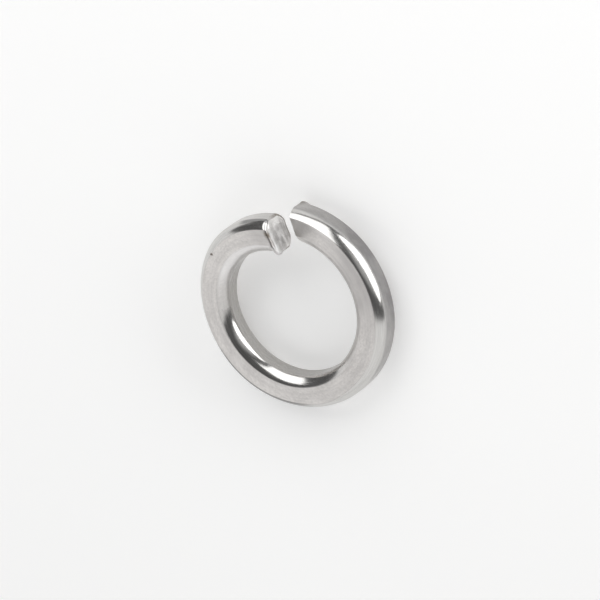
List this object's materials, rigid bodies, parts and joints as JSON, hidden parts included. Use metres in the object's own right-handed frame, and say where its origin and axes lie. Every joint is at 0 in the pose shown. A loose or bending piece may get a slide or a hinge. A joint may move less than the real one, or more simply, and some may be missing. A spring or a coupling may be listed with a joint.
{
  "type": "split spring lock washer",
  "caption": "Split spring lock washer: one left-hand turn of square wire with softened edges, slit and sprung apart, for use under a bolt head or nut.",
  "frame": {"origin": "centre of the bore, at the middle of the free height", "axes": "+Z along the bore's axis, towards the high end's face; +Y through the slit; the low end is on the slit's +X side"},
  "size_m": [0.0302, 0.0302, 0.0094],
  "materials": {
    "steel": "bright drawn stainless steel, satin faces with polished long edges"
  },
  "bodies": {
    "root": {"spring_washer": "steel"}
  },
  "joints": []
}
